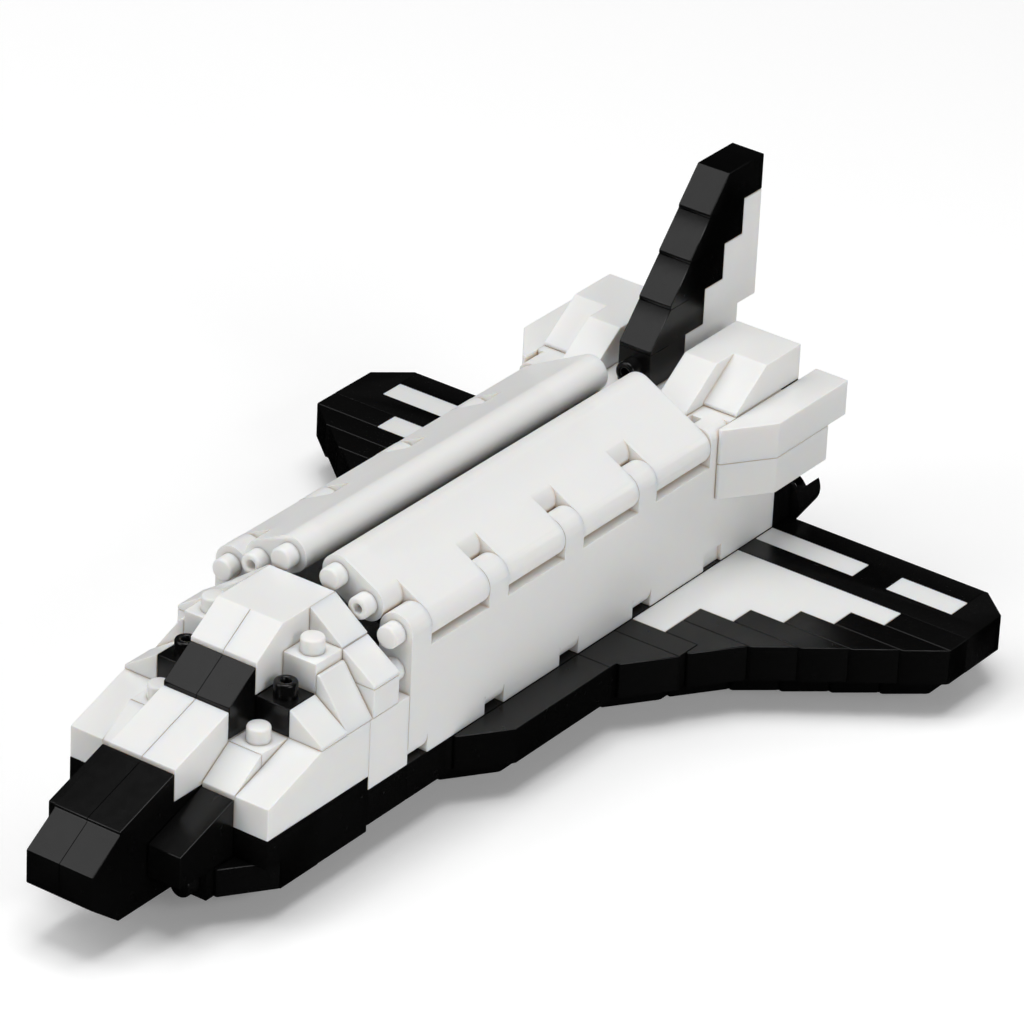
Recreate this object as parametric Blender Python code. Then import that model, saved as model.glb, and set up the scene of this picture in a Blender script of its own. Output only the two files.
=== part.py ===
"""A micro-brick toy model of a space shuttle orbiter, brick by brick.

Metres, +Z up, +X to the nose, +Y to port. The origin is on the floor line under the model's middle.
The nose is built with its studs up, and the rest with its studs forward.
Bricks are laid out in stud pitches: "a" runs to the tail, "b" to port and "z" up from the wing's top.
"""

import math

import bmesh
import bpy
from mathutils import Matrix, Vector

# Driving dimensions
PITCH = 0.004  # from stud to stud
BRICK = 0.775  # height of a brick without its stud, in pitches
SEAM = 0.0125  # each brick's face stands back this far from the lattice, in pitches
STUD_R = 0.3
STUD_H = 0.4
STUD_ROOT = 0.15  # how far a stud goes on inside its brick
LIP = 0.1  # upright edge at the thin end of a slope brick
SHARP_LIP = 0.03
SHORT = 0.35  # the thin end of a slope two bricks long stops this far short, in bricks
PEG = 0.11  # half width of the bar that ties two bricks inside
PEG_REACH = 0.2
PEG_START = PEG + 0.01  # a peg is tested from here on
TOUCH = 1e-6  # two faces that are nearer than this meet

# Places on the lattice
HALF_BODY = 3.0  # the fuselage's side
COLLAR_FRONT = -20  # layer where the bricks with their studs forward begin
BAY_FRONT, BAY_BACK = -18, -2  # layers between which the doors lie
TAIL_PLATE, TAIL_END = 2, 3
MODULE = 4  # layers from one hinge bracket to the next
NOSE_GAP = 0.45  # the front studs stand in it
NOSE_BACK = BAY_FRONT * BRICK - NOSE_GAP
NOSE_FOOT = NOSE_BACK - COLLAR_FRONT * BRICK  # steps from the nose's back to the collar
NOSE_LEVEL = -BRICK / 2  # height of the nose's level 0
NOSE_STEPS = 9
HULL_BOTTOM = -2.0
FLOOR_Z = HULL_BOTTOM
TAIL_LAYER = 5
MIDDLE_A = (NOSE_BACK - NOSE_STEPS + TAIL_LAYER * BRICK) / 2

# The doors turn about the studs in the brackets' round tops
HINGE_B, HINGE_Z = 2.5, 3.5
DOOR_TILT = 28  # degrees above level, as in the photograph
DOOR_SPAN = 2.0  # from the hinge to the innermost stud
DOOR_CLEAR = 0.04
BAR_R = 0.5  # round ends of the brackets and the door's bricks
SOCKET_OVER = 0.1  # a socket's cutter goes on past the face
ROUND_SIDES = 12

# The nose
CHINE_STEP = 4.45  # where the hull's bend at the nose begins
LOWEST_LEVEL = -2
FRONT_STUD_STEP = 6  # the lowest brick's front, with its two studs
FRONT_STUD_B = 1.5
TIP_LIP = 0.02

# The engine bells, which get narrower to the rear
ENGINE_R, MOUTH_R, BORE_R = 0.78, 0.6, 0.38
ENGINE_LENGTH = 1.24
BORE_DEPTH = 0.6
ENGINE_B, ENGINE_Z = 2.5, 0.32
TOP_ENGINE_Z = 2.3
NOTCH_LENGTH, NOTCH_LOW = 0.69, -0.16
SLOT_START, SLOT_LOW, SLOT_HALF = 0.15, 0.3, 0.13
NOTCH_TURN, SLOT_TURN = 135, 52  # degrees from the outer side up
CUT_OVER = 0.3

# Colour and roughness
WHITE = ((0.86, 0.86, 0.84), 0.35)
BLACK = ((0.012, 0.012, 0.014), 0.28)

# The axis and the sign of each side of a brick
SIDES = {
    "fore": (0, 1),
    "aft": (0, -1),
    "port": (1, 1),
    "starboard": (1, -1),
    "top": (2, 1),
    "bottom": (2, -1),
}
MIRRORED = {"port": "starboard", "starboard": "port"}


def clear_scene():
    for obj in list(bpy.data.objects):
        bpy.data.objects.remove(obj)


def collection(name, hidden=False):
    made = bpy.data.collections.new(name)
    bpy.context.scene.collection.children.link(made)
    made.hide_render = hidden
    return made


def material(name, colour, roughness):
    made = bpy.data.materials.new(name)
    made.use_nodes = True
    shader = made.node_tree.nodes["Principled BSDF"]
    shader.inputs["Base Color"].default_value = (*colour, 1)
    shader.inputs["Roughness"].default_value = roughness
    shader.inputs["Metallic"].default_value = 0
    made.diffuse_color = (*colour, 1)
    return made


def place(a, b, z):
    """A point of the lattice, in metres."""
    return Vector((MIDDLE_A - a, b, z - FLOOR_Z - SEAM)) * PITCH


class Brick:
    """A box of the lattice, with any of its ends drawn in to a thin edge."""

    def __init__(self, a, b, z, cuts=(), lip=LIP):
        self.low = Vector((-max(a), min(b), min(z)))
        self.high = Vector((-min(a), max(b), max(z)))
        self.cuts = tuple(cuts)
        self.lip = lip

    def mirrored(self):
        a = (-self.high.x, -self.low.x)
        b = (-self.high.y, -self.low.y)
        twin = Brick(a, b, (self.low.z, self.high.z), lip=self.lip)
        twin.cuts = tuple(tuple(MIRRORED.get(word, word) for word in cut) for cut in self.cuts)
        return twin

    def corner(self, signs):
        """One corner, after the cuts: at the cut's end, the cut's side is drawn in until the lip is left."""
        low = self.low + Vector((SEAM,) * 3)
        high = self.high - Vector((SEAM,) * 3)
        point = [high[n] if signs[n] > 0 else low[n] for n in range(3)]
        for end, side in self.cuts:
            end_axis, end_sign = SIDES[end]
            side_axis, side_sign = SIDES[side]
            if signs[end_axis] != end_sign or signs[side_axis] != side_sign:
                continue
            if side_sign > 0:
                point[side_axis] = low[side_axis] + self.lip
            else:
                point[side_axis] = high[side_axis] - self.lip
        return Vector(point)

    def add_to(self, mesh):
        made = bmesh.ops.create_cube(mesh, size=2)
        for vert in made["verts"]:
            corner = self.corner([round(value) for value in vert.co])
            vert.co = place(-corner.x, corner.y, corner.z)

    def holds(self, point, margin):
        """True if the point lies this far inside the brick."""
        if any(not self.low[n] + margin < point[n] < self.high[n] - margin for n in range(3)):
            return False
        for end, side in self.cuts:
            end_axis, end_sign = SIDES[end]
            side_axis, side_sign = SIDES[side]
            length = self.high[end_axis] - self.low[end_axis]
            height = self.high[side_axis] - self.low[side_axis]
            thin_end = self.high if end_sign > 0 else self.low
            base = self.low if side_sign > 0 else self.high
            along = abs(thin_end[end_axis] - point[end_axis])
            up = abs(point[side_axis] - base[side_axis])
            if up > self.lip + (height - self.lip) * along / length - margin:
                return False
        return True


def shared_face(one, two):
    """(axis, plane, low, high) of the face where two bricks meet, or None."""
    for axis in range(3):
        for plane, other in ((one.high[axis], two.low[axis]), (one.low[axis], two.high[axis])):
            if abs(plane - other) > TOUCH:
                continue
            low = [max(one.low[n], two.low[n]) for n in range(3)]
            high = [min(one.high[n], two.high[n]) for n in range(3)]
            if all(high[n] - low[n] > 2 * PEG for n in range(3) if n != axis):
                return axis, plane, low, high
    return None


def peg_between(one, two):
    """Centre and axis of a short bar that lies inside both bricks, or None."""
    face = shared_face(one, two)
    if face is None:
        return None
    axis, plane, low, high = face
    across = [n for n in range(3) if n != axis]
    steps = (0.5, 0.3, 0.7, 0.2, 0.8, 0.13, 0.87)
    for first in steps:
        for second in steps:
            point = [0.0, 0.0, 0.0]
            point[axis] = plane
            for n, share in zip(across, (first, second)):
                point[n] = low[n] + share * (high[n] - low[n])
            ends = []
            for brick in (one, two):
                inwards = 1 if brick.low[axis] + brick.high[axis] > 2 * plane else -1
                tip = list(point)
                tip[axis] = plane + inwards * PEG_REACH
                near = list(point)
                near[axis] = plane + inwards * PEG_START
                ends.append(brick.holds(Vector(tip), PEG) and brick.holds(Vector(near), PEG))
            if all(ends):
                return Vector(point), axis
    return None


def add_peg(mesh, centre, axis):
    size = [PEG, PEG, PEG]
    size[axis] = PEG_REACH
    made = bmesh.ops.create_cube(mesh, size=2)
    for vert in made["verts"]:
        point = [centre[n] + vert.co[n] * size[n] for n in range(3)]
        vert.co = place(-point[0], point[1], point[2])


def add_cylinder(mesh, a, b, z, radius, axis="x", sides=ROUND_SIDES, aft_radius=None):
    """A cylinder along x or z through the range given: the range of its own axis is a tuple."""
    ranges = [value if isinstance(value, tuple) else (value, value) for value in (a, b, z)]
    low, high = (place(*[pair[n] for pair in ranges]) for n in (0, 1))
    spot = Matrix.Translation((low + high) / 2)
    if axis == "x":
        spot = spot @ Matrix.Rotation(math.pi / 2, 4, "Y")
    bmesh.ops.create_cone(
        mesh,
        cap_ends=True,
        segments=sides,
        radius1=(aft_radius or radius) * PITCH,
        radius2=radius * PITCH,
        depth=(high - low).length,
        matrix=spot,
    )


def add_round_bar(mesh, a, middle, angle, start, end, flat_start=False):
    """A bar with round ends, across the fuselage: from start to end along the angle from middle (b, z).

    A cylinder's halves are drawn apart, and a flat end's half is pressed level."""
    reach = BAR_R - SEAM
    made = bmesh.ops.create_cone(
        mesh,
        cap_ends=True,
        segments=ROUND_SIDES,
        radius1=1,
        radius2=1,
        depth=1,
        matrix=Matrix.Rotation(math.pi / ROUND_SIDES, 4, "Z"),
    )
    along = Vector((math.cos(math.radians(angle)), math.sin(math.radians(angle))))
    across = Vector((-along.y, along.x))
    flat = 1 / math.cos(math.pi / ROUND_SIDES)
    for vert in made["verts"]:
        u, w, depth = vert.co.x * reach * flat, vert.co.y * reach * flat, vert.co.z
        if u > 0:
            u += end
        elif flat_start:
            u = start
        else:
            u += start
        spot = Vector(middle) + along * u + across * w
        vert.co = place(a[0] + SEAM if depth < 0 else a[1] - SEAM, spot.x, spot.y)


def to_object(mesh, name, home, look=None):
    data = bpy.data.meshes.new(name)
    bmesh.ops.recalc_face_normals(mesh, faces=mesh.faces)
    mesh.to_mesh(data)
    mesh.free()
    made = bpy.data.objects.new(name, data)
    home.objects.link(made)
    if look:
        data.materials.append(look)
    return made


def helper(mesh, name, home):
    made = to_object(mesh, name, home)
    made.hide_render = True
    made.display_type = "WIRE"
    return made


def boolean(target, tool, operation):
    step = target.modifiers.new(tool.name, "BOOLEAN")
    step.operation = operation
    step.solver = "EXACT"
    step.object = tool


def tie(bricks):
    """The fewest bars that hold all these bricks together."""
    group = list(range(len(bricks)))
    pegs = []
    for one in range(len(bricks)):
        for two in range(one + 1, len(bricks)):
            if group[one] == group[two]:
                continue
            peg = peg_between(bricks[one], bricks[two])
            if peg:
                pegs.append(peg)
                old, new = group[two], group[one]
                group = [new if mark == old else mark for mark in group]
    if len(set(group)) > 1:
        loose = [n for n in range(len(bricks)) if group[n] != group[0]]
        raise ValueError(f"bricks {loose} are tied to nothing")
    return pegs


def build_node(name, bricks, look, homes, studs=(), bars=(), pegs=(), sockets=()):
    """One closed body: bricks with a seam between them, tied inside, and any studs that show.

    Bars are the round-ended pieces, pegs tie them to their neighbours, and sockets take the hinges' studs."""
    parts, tools = homes
    mesh = bmesh.new()
    for brick in bricks:
        brick.add_to(mesh)
    for bar in bars:
        add_round_bar(mesh, **bar)
    made = to_object(mesh, name, parts, look)
    joiner = bmesh.new()
    for centre, axis in tie(bricks) + list(pegs):
        add_peg(joiner, centre, axis)
    for a, b, z, axis in studs:
        add_cylinder(joiner, a, b, z, STUD_R, axis)
    if len(joiner.verts):
        boolean(made, helper(joiner, name + "_ties", tools), "UNION")
    else:
        joiner.free()
    if sockets:
        cutter = bmesh.new()
        for a, b, z in sockets:
            add_cylinder(cutter, a, b, z, STUD_R + DOOR_CLEAR, "x")
        boolean(made, helper(cutter, name + "_sockets", tools), "DIFFERENCE")
    return made


def rear(i, b, z, *cuts, lip=LIP):
    """A brick of the body with its studs forward: i in layers, b and z in pitches."""
    return Brick([value * BRICK for value in i], b, z, cuts, lip)


def level_height(level):
    return NOSE_LEVEL + level * BRICK


def nose(k, b, level, *cuts, lip=LIP):
    """A brick of the nose with its studs up: k in pitches ahead of the nose's back, level in bricks."""
    a = [NOSE_BACK - value for value in k]
    return Brick(a, b, [level_height(value) for value in level], cuts, lip)


def pair(name, bricks, look, homes, studs=()):
    """The port node and its starboard twin."""
    build_node("port_" + name, bricks, look, homes, studs)
    twins = [(a, -b, z, axis) for a, b, z, axis in studs]
    build_node("starboard_" + name, [brick.mirrored() for brick in bricks], look, homes, twins)


def nose_stud(k, b, level):
    """A stud that stands on a nose brick."""
    base = level_height(level)
    return (NOSE_BACK - k, b, (base - STUD_ROOT, base + STUD_H), "z")


def fore_stud(i, b, z):
    """A stud on the front of a rear brick."""
    face = i * BRICK
    return ((face - STUD_H, face + STUD_ROOT), b, z, "x")


def build_nose(black, white, homes):
    """The nose cone, the cheeks beside it and the black hull under them."""
    tip = [
        nose((8, 9), (-1, 1), (0, 1)),
        nose((8, 9), (-1, 1), (-1, 0), ("fore", "bottom"), lip=TIP_LIP),
        nose((6, 8), (-1, 1), (-1, 0)),
        nose((5, 8), (-1, 1), (0, 2)),
    ]
    for b in ((-1, 0), (0, 1)):
        tip.append(nose((8, 9), b, (1, 2), ("fore", "top")))
        tip.append(nose((6, 8), b, (2, 3), ("fore", "top")))
    build_node("nose_tip", tip, black, homes)
    cheek = [nose((5, 7), (1, 2), (1, 2), ("fore", "top")), nose((5, 7), (1, 2), (0, 1))]
    pair("nose_cheek", cheek, black, homes)
    chine = nose((CHINE_STEP, CHINE_STEP + (2 - SHORT) * BRICK), (2, 3), (-1, 0), ("fore", "port"))
    hull = [
        nose((NOSE_FOOT, 5), (-3, 3), (0, 1)),
        nose((NOSE_FOOT, 3), (-3, 3), (-1, 0)),
        nose((3, 4), (-3, 3), (-1, 0)),
        nose((4, CHINE_STEP), (-3, 3), (-1, 0)),
        nose((CHINE_STEP, 6), (-2, 2), (-1, 0)),
        nose((NOSE_FOOT, 3), (-2, 2), (LOWEST_LEVEL, -1)),
        chine,
        chine.mirrored(),
    ]
    front = NOSE_BACK - FRONT_STUD_STEP
    middle = level_height(-0.5)
    ends = (front - STUD_H, front + STUD_ROOT)
    front_studs = [(ends, b, middle, "x") for b in (-FRONT_STUD_B, FRONT_STUD_B)]
    build_node("nose_hull", hull, black, homes, front_studs)
    centre = [nose((4, 6), b, (3, 4), ("fore", "top")) for b in ((-1, 0), (0, 1))]
    centre.append(nose((4, 6), (-1, 1), (2, 3)))
    build_node("nose_bonnet", centre, white, homes)
    shoulder = [
        nose((4, 5), (1, 2), (2, 3), ("fore", "top")),
        nose((3, 4), (1, 2), (2, 3)),
        nose((3, 5), (2, 3), (2, 3), ("fore", "top")),
        nose((2, 5), (1, 3), (1, 2)),
        nose((NOSE_FOOT, 2), (1, 3), (1, 2)),
        nose((NOSE_FOOT, 3), (2, 3), (2, 3)),
        nose((0, 3), (1, 2), (2, 3)),
    ]
    pair("nose_shoulder", shoulder, white, homes, [nose_stud(3.5, 1.5, 3)])


def build_cockpit(black, white, homes):
    """The black window slopes, the white roof over them and the sloping sides."""
    window = [nose((3, 4), b, (4, 5), ("fore", "top")) for b in ((-1, 0), (0, 1))]
    window.append(nose((2, 4), (-1, 1), (3, 4)))
    build_node("windscreen", window, black, homes)
    pair("side_window", [nose((2, 3), (1, 2), (3, 4))], black, homes, [nose_stud(2.5, 1.5, 4)])
    roof = [nose((2, 3), b, (5, 6), ("fore", "top")) for b in ((-1, 0), (0, 1))]
    roof += [nose((0, 2), (-1, 1), (5, 6)), nose((0, 3), (-1, 1), (4, 5)), nose((0, 2), (-1, 1), (2, 4))]
    roof.append(nose((2, 4), (-1, 1), (2, 3)))
    build_node("cockpit_roof", roof, white, homes)
    side = [
        nose((0, 1), (1, 2), (5, 6), ("port", "top"), lip=SHARP_LIP),
        nose((1, 2), (1, 2), (4, 5)),
        nose((0, 1), (1, 2), (4, 5)),
        nose((0, 1), (2, 3), (4, 5), ("port", "top")),
        nose((0, 1), (2, 3), (3, 4)),
        nose((0, 2), (1, 2), (3, 4)),
        nose((1, 2), (2, 3), (3, 5 - SHORT), ("top", "port")),
        nose((2, 3), (2, 3), (3, 4), ("port", "top")),
    ]
    pair("cockpit_side", side, white, homes, [nose_stud(1.5, 1.5, 5)])


def bracket(start, b):
    """The round-topped hinge bracket of a layer, and the peg that ties it to the brick behind it."""
    a = (start * BRICK, (start + 1) * BRICK)
    bar = {"a": a, "middle": (b, BAR_R), "angle": 90, "start": 0, "end": HINGE_Z - BAR_R}
    return bar, (Vector((-a[1], b, HINGE_Z / 2)), 0)


def build_body(black, white, homes):
    """The payload bay's walls with their hinge brackets, the hull below and the solid tail."""
    keel_bend = rear((-15 + SHORT, -13), (2, 3), (HULL_BOTTOM, -1), ("fore", "port"))
    hull = [
        rear((COLLAR_FRONT, BAY_FRONT), (-3, 3), (-1, 0)),
        rear((BAY_FRONT, BAY_BACK), (-3, 3), (-1, 0)),
        rear((BAY_BACK, TAIL_END), (-3, 3), (-1, 0)),
        rear((COLLAR_FRONT, -13), (-2, 2), (HULL_BOTTOM, -1)),
        rear((-13, TAIL_END), (-3, 3), (HULL_BOTTOM, -1)),
        keel_bend,
        keel_bend.mirrored(),
    ]
    build_node("hull", hull, black, homes)
    core_top = level_height(2)
    build_node("collar", [rear((COLLAR_FRONT, BAY_FRONT), (-2, 2), (0, core_top))], white, homes)
    collar_side = [
        rear((COLLAR_FRONT, COLLAR_FRONT + 1), (2, 3), (0, 1)),
        rear((COLLAR_FRONT + 1, BAY_FRONT), (2, 3), (0, 1)),
        rear((COLLAR_FRONT, BAY_FRONT), (2, 3), (1, level_height(3))),
    ]
    pair("collar_side", collar_side, white, homes)
    for side, sign in (("port", 1), ("starboard", -1)):
        for number, start in enumerate(range(BAY_FRONT, BAY_BACK, MODULE), 1):
            hinge_b = sign * HINGE_B
            stud_heights = (HINGE_Z, HINGE_Z - 1) if start == BAY_FRONT else (HINGE_Z,)
            bar, peg = bracket(start, hinge_b)
            back = (start + 1) * BRICK
            build_node(
                f"{side}_wall_{number}",
                [rear((start + 1, start + MODULE), (sign * 2, sign * 3), (0, 3))],
                white,
                homes,
                studs=[fore_stud(start, hinge_b, height) for height in stud_heights],
                bars=[bar],
                pegs=[peg],
                sockets=[((back - STUD_H - DOOR_CLEAR, back + SOCKET_OVER), hinge_b, HINGE_Z)],
            )
    bulkhead = rear((BAY_FRONT, BAY_FRONT + 1), (-2, 2), (0, 3))
    build_node("bay_bulkhead", [bulkhead], black, homes)
    hinge_studs = [fore_stud(BAY_BACK, b, HINGE_Z) for b in (HINGE_B, -HINGE_B)]
    block = [
        rear((BAY_BACK, BAY_BACK + 1), (-2, 2), (0, 4)),
        rear((BAY_BACK + 1, TAIL_PLATE), (-3, 3), (0, 4)),
    ]
    bars, pegs = zip(*(bracket(BAY_BACK, b) for b in (HINGE_B, -HINGE_B)))
    build_node("tail_block", block, white, homes, hinge_studs, bars, pegs)
    build_node("tail_plate", [rear((TAIL_PLATE, TAIL_END), (-3, 3), (0, 4))], black, homes)


def build_doors(white, homes):
    """Each door's four panels: a short link beside the bracket, then a wide panel that turns on its studs."""
    for side, sign in (("port", 1), ("starboard", -1)):
        angle = 180 - DOOR_TILT if sign > 0 else DOOR_TILT
        along = Vector((math.cos(math.radians(angle)), math.sin(math.radians(angle))))
        hinge = Vector((sign * HINGE_B, HINGE_Z))
        for number, start in enumerate(range(BAY_FRONT, BAY_BACK, MODULE), 1):
            link = (start * BRICK, (start + 1) * BRICK)
            panel = (link[1], (start + MODULE) * BRICK)
            inner = hinge + along * (DOOR_SPAN - BAR_R)
            shown = [hinge + along * reach for reach in (1, DOOR_SPAN)] if number == 1 else []
            section = {"middle": hinge, "angle": angle, "end": DOOR_SPAN}
            build_node(
                f"{side}_door_{number}",
                [],
                white,
                homes,
                studs=[fore_stud(start, *spot) for spot in shown] + [fore_stud(start + 1, *hinge)],
                bars=[
                    {"a": link, "start": BAR_R + DOOR_CLEAR, "flat_start": True, **section},
                    {"a": panel, "start": 0, **section},
                ],
                pegs=[(Vector((-link[1], inner.x, inner.y)), 0)],
                sockets=[((panel[1] - STUD_H - DOOR_CLEAR, panel[1] + SOCKET_OVER), *hinge)],
            )


def build_wings(black, white, homes):
    """Each wing's layers from its trailing edge forward, and the set-in layer below."""
    # first layer, last layer, white from the body out to b, black on to b, cut at the fore end
    rows = (
        (-1, 0, 8, 10, False),
        (-2, -1, 7, 10, True),
        (-3, -2, 6, 9, True),
        (-4, -3, 5, 8, True),
        (-5, -4, 4, 7, True),
        (-6, -5, 4, 6, False),
    )
    field = []
    edge = []
    for first, last, white_to, black_to, cut in rows:
        field.append(rear((first, last), (HALF_BODY, white_to), (-1, 0)))
        if cut:
            edge.append(rear((first, last), (white_to, black_to - 1), (-1, 0)))
            edge.append(rear((first, last), (black_to - 1, black_to), (-1, 0), ("fore", "port")))
        elif black_to > 8:
            edge.append(rear((first, last), (white_to, black_to), (-1, 0)))
    edge += [
        rear((-7 + SHORT, -5), (5, 6), (-1, 0), ("fore", "port")),
        rear((-6, -5), (4, 5), (-1, 0)),
        rear((-7, -6), (3, 5), (-1, 0)),
        rear((-9 + SHORT, -7), (4, 5), (-1, 0), ("fore", "port")),
        rear((-14, -7), (3, 4), (-1, 0)),
        rear((-16 + SHORT, -14), (3, 4), (-1, 0), ("fore", "port")),
    ]
    pair("wing_field", field, white, homes)
    pair("wing_leading_edge", edge, black, homes)
    flap = [
        rear((0, 1), (3, 10), (-1, 0)),
        rear((1, 2), (6, 7), (-1, 0)),
        rear((1, 2), (9, 10), (-1, 0)),
        rear((2, 3), (3, 9), (-1, 0)),
        rear((2, 3), (9, 10), (-1, 0), ("aft", "port")),
    ]
    pair("wing_flap", flap, black, homes)
    pair("flap_stripe_inner", [rear((1, 2), (3, 6), (-1, 0))], white, homes)
    pair("flap_stripe_outer", [rear((1, 2), (7, 9), (-1, 0))], white, homes)
    low = (HULL_BOTTOM, -1)
    under = [rear((0, 3), (3, 9), low)]
    for first, to in ((-1, 9), (-2, 8), (-3, 7), (-4, 6)):
        layer = (first, first + 1)
        under.append(rear(layer, (3, to - 1), low))
        under.append(rear(layer, (to - 1, to), low, ("fore", "port")))
    under += [
        rear((-6, -4), (3, 4), low),
        rear((-6 + SHORT, -4), (4, 5), low, ("fore", "port")),
        rear((-8 + SHORT, -6), (3, 4), low, ("fore", "port")),
    ]
    pair("wing_underside", under, black, homes)


def build_tail(black, white, homes):
    """The engine pods, the flared sides, the fin and the engine bells."""
    pod = [
        rear((-2 + SHORT, 0), (1, 2), (4, 5), ("fore", "top")),
        rear((0, TAIL_END), (1, 2), (4, 5)),
        rear((-1 + SHORT, 1), (2, 3), (4, 5), ("fore", "top")),
        rear((1, TAIL_END), (2, 3), (4, 5)),
    ]
    pair("pod", pod, white, homes)
    flare = [
        rear((-2 + SHORT, 0), (3, 4), (3, 4), ("fore", "port")),
        rear((-2 + SHORT, 0), (3, 4), (2, 3), ("fore", "port")),
        rear((0, 4), (3, 4), (3, 4)),
        rear((0, 3), (3, 4), (2, 3)),
    ]
    pair("flare", flare, white, homes)
    # level, front of the slope's foot, back of the black, back of the white
    levels = ((5, -1, 2, 5), (6, 0, 3, 5), (7, 1, 4, 5), (8, 2, 5, 5))
    thick = (-0.5, 0.5)
    dark = [rear((-1, 1), thick, (4, 5))]
    light = [rear((1, 4), thick, (4, 5))]
    for level, foot, black_to, white_to in levels:
        dark.append(rear((foot, foot + 1), thick, (level, level + 1), ("fore", "top")))
        dark.append(rear((foot + 1, black_to), thick, (level, level + 1)))
        if white_to > black_to:
            light.append(rear((black_to, white_to), thick, (level, level + 1)))
    build_node("fin_leading_edge", dark, black, homes, [fore_stud(-1, 0, 4.5)])
    build_node("fin_rudder", light, white, homes)
    build_engine("port_engine", ENGINE_B, ENGINE_Z, (NOTCH_TURN, SLOT_TURN), black, homes)
    build_engine("starboard_engine", -ENGINE_B, ENGINE_Z, (180 - NOTCH_TURN, 180 - SLOT_TURN), black, homes)
    build_engine("centre_engine", 0, TOP_ENGINE_Z, (NOTCH_TURN, SLOT_TURN), black, homes)


def add_turned_box(mesh, a, b, z, turn, out, half):
    """A box beside the line (b, z): it is turned about it, and lies between two distances out from it."""
    size = Vector((a[1] - a[0], out[1] - out[0], 2 * half)) * PITCH
    spot = Matrix.Translation(place(sum(a) / 2, b, z)) @ Matrix.Rotation(math.radians(turn), 4, "X")
    spot = spot @ Matrix.Translation((0, sum(out) / 2 * PITCH, 0)) @ Matrix.Diagonal((*size, 1))
    bmesh.ops.create_cube(mesh, size=1, matrix=spot)


def build_engine(name, b, z, turns, look, homes):
    """A hollow bell behind the tail plate, with a notch in its rim and a slot ahead of the notch."""
    parts, tools = homes
    notch_turn, slot_turn = turns
    start = TAIL_END * BRICK + SEAM
    end = start + ENGINE_LENGTH
    bell = bmesh.new()
    add_cylinder(bell, (start, end), b, z, ENGINE_R, aft_radius=MOUTH_R)
    made = to_object(bell, name, parts, look)
    bore = bmesh.new()
    add_cylinder(bore, (end - BORE_DEPTH, end + CUT_OVER), b, z, BORE_R)
    notch = bmesh.new()
    notch_start = end - NOTCH_LENGTH
    add_turned_box(notch, (notch_start, end + CUT_OVER), b, z, notch_turn, (NOTCH_LOW, 1), 1)
    slot = bmesh.new()
    add_turned_box(slot, (start + SLOT_START, notch_start), b, z, slot_turn, (SLOT_LOW, 1), SLOT_HALF)
    for cutter, word in ((bore, "_bore"), (notch, "_notch"), (slot, "_slot")):
        boolean(made, helper(cutter, name + word, tools), "DIFFERENCE")


def build():
    clear_scene()
    homes = (collection("shuttle_toy"), collection("cutters", hidden=True))
    black = material("black_plastic", *BLACK)
    white = material("white_plastic", *WHITE)
    for section in (build_nose, build_cockpit, build_body, build_wings, build_tail):
        section(black, white, homes)
    build_doors(white, homes)


build()
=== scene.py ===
"""The looks of a micro-brick toy space shuttle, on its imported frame.

A piece stands for one node of the frame, or for a few, and is built from bricks with rounded edges.
Bricks are laid out in stud pitches: "a" runs to the tail, "b" to port and "z" up from the wing's top.
"""
import math

import bmesh
import bpy
from mathutils import Euler, Matrix, Vector


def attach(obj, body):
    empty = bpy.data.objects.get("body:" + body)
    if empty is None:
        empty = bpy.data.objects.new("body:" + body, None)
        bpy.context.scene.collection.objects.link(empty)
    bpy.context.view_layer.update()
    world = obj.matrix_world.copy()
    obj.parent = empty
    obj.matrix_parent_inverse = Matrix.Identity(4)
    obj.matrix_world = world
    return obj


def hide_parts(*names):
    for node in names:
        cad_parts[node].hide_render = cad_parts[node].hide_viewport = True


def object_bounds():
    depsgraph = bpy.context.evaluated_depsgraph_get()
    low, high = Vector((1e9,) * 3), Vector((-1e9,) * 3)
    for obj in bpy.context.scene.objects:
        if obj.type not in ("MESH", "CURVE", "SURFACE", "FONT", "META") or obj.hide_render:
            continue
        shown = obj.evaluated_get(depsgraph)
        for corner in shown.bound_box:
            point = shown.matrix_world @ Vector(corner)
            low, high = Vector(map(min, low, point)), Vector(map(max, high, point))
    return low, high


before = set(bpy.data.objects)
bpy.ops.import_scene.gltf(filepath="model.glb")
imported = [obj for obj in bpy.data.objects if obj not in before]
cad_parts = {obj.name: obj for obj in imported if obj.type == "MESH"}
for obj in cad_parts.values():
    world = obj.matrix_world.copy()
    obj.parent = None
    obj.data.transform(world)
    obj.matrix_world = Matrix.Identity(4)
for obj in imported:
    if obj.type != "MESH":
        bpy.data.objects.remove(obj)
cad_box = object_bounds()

# The lattice of the bricks, as in the solids
PITCH = 0.004
BRICK = 0.775
SEAM = 0.0125
LIP, SHARP_LIP, TIP_LIP = 0.1, 0.03, 0.02  # thickness left at the thin edge of a cut brick
SHORT = 0.35  # part of a layer that a cut brick falls short of
COLLAR_FRONT, KEEL_FRONT, BAY_FRONT, BAY_BACK, TAIL_PLATE, TAIL_END = -20, -13, -18, -2, 2, 3
MODULE = 4  # layers from one hinge bracket to the next
NOSE_LEAD = 0.45  # from the bay's front forward to the back of the nose's own lattice
NOSE_BACK = BAY_FRONT * BRICK - NOSE_LEAD
NOSE_FOOT = NOSE_BACK - COLLAR_FRONT * BRICK
NOSE_LEVEL = -BRICK / 2
CHINE_STEP = 4.45  # where the cut bricks beside the lower nose end, ahead of the nose's back
HULL_BOTTOM = -2.0
NOSE_LENGTH = 9
FIN_END = 5  # in layers
MIDDLE_A = (NOSE_BACK - NOSE_LENGTH + FIN_END * BRICK) / 2

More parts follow.
